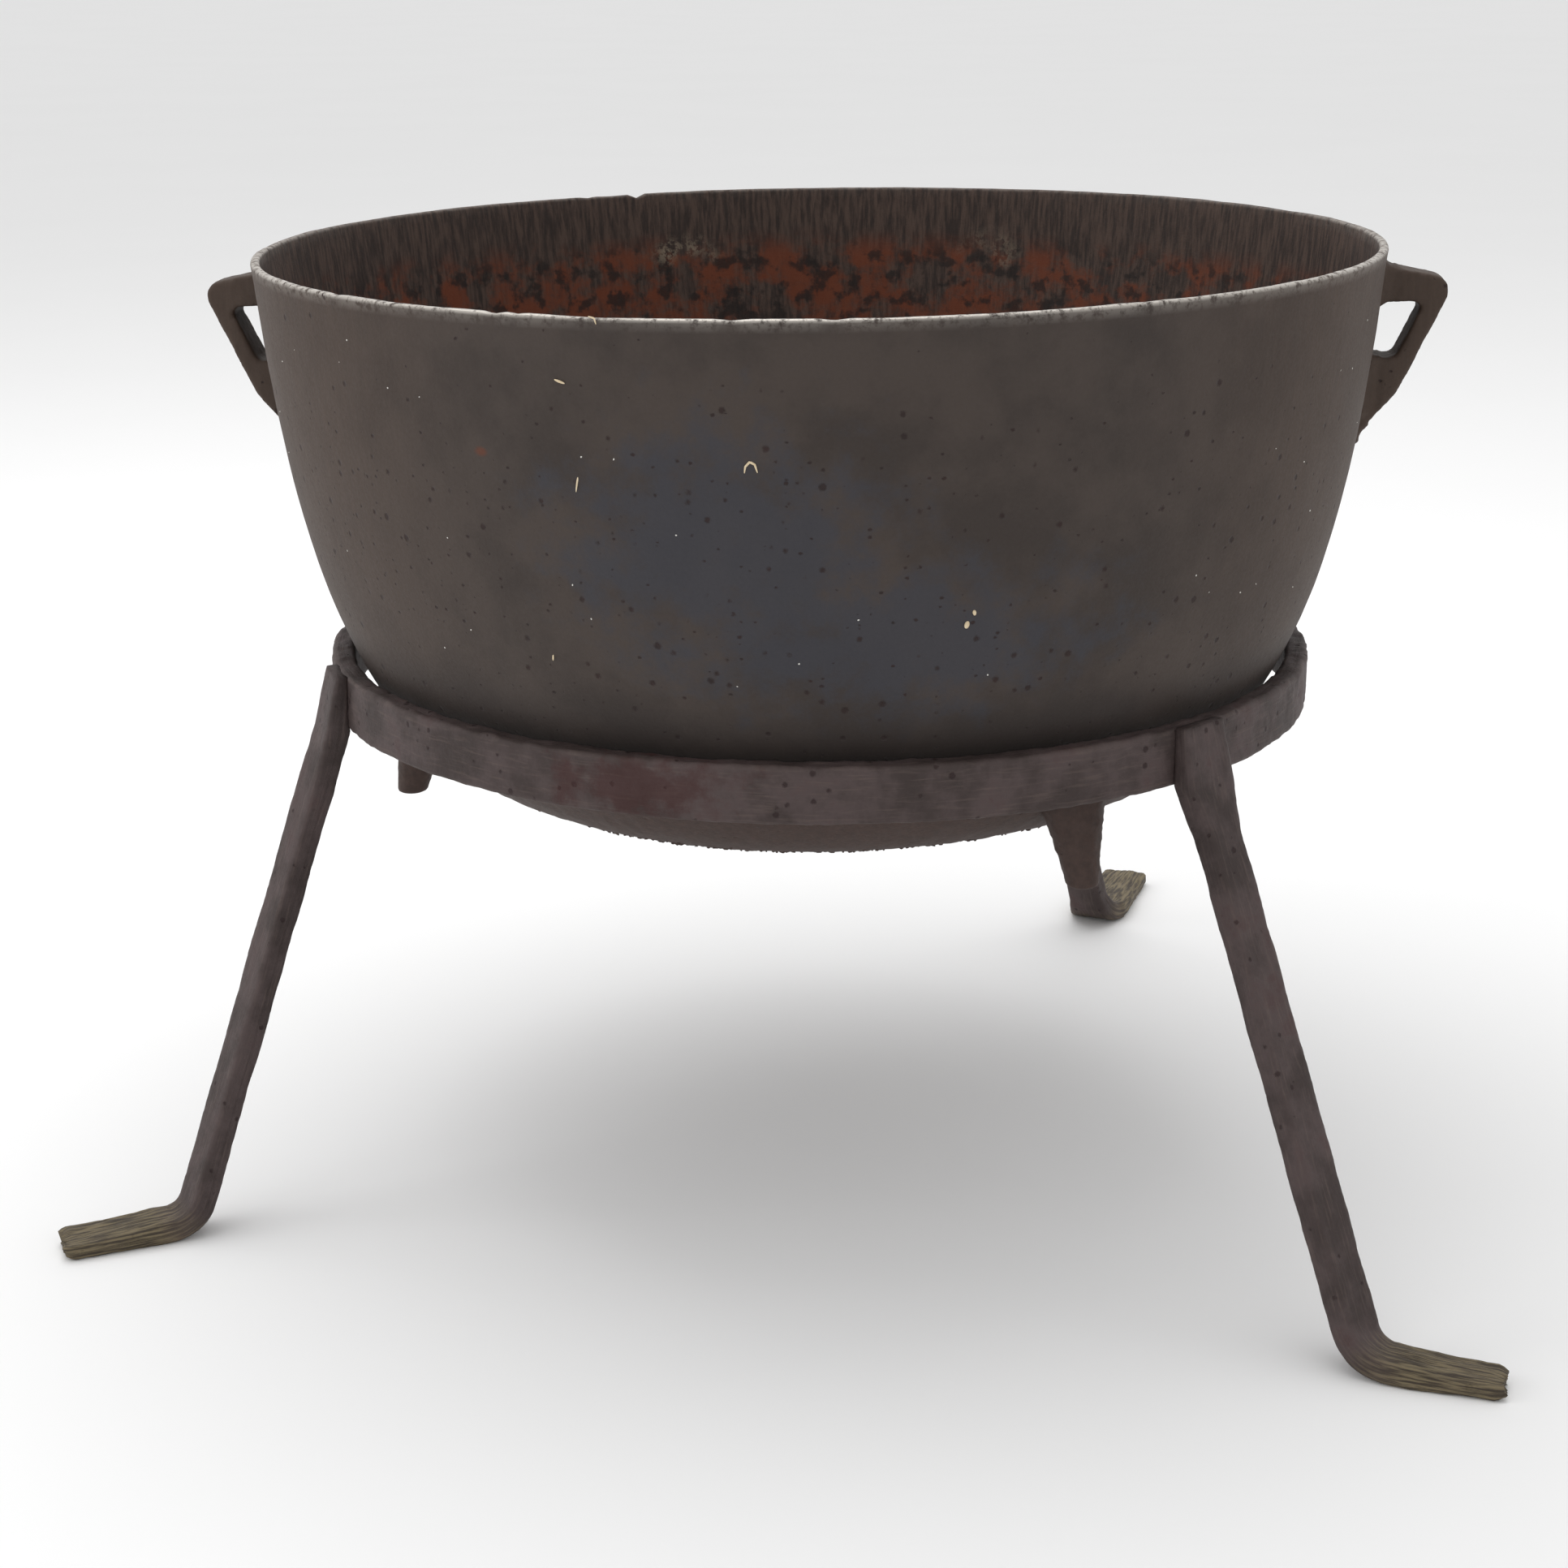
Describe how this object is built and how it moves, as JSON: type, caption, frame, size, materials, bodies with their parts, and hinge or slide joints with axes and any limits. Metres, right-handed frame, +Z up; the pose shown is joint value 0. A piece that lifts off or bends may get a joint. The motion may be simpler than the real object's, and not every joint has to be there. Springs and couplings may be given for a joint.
{
  "type": "cauldron",
  "caption": "Round cast iron cauldron with looped ears and stub feet, resting loose in a forged iron ring stand with splayed legs and flat turned-out feet.",
  "frame": {"origin": "centre of the bounding box at the floor, under the pot", "axes": "+Z up; -Y towards the side that the picture shows; the ears lie along X, turned a few degrees"},
  "size_m": [0.715, 0.742, 0.487],
  "materials": {
    "pot_iron": "rough cast skin, pitted, with brown rust and a worn bright rim",
    "stand_iron": "forged skin, pitted, with red-brown rust"
  },
  "bodies": {
    "stand": {"stand_ring": "stand_iron", "leg_left": "stand_iron", "leg_right": "stand_iron", "leg_back": "stand_iron"},
    "cauldron": {"bowl": "pot_iron", "ear_right": "pot_iron", "ear_left": "pot_iron", "pot_foot_left": "pot_iron", "pot_foot_right": "pot_iron", "pot_foot_back": "pot_iron"}
  },
  "joints": [
    {"name": "lift_out", "type": "slide", "parent": "stand", "child": "cauldron", "axis": [0, 0, 1], "range_m": [0, 0.2]}
  ]
}
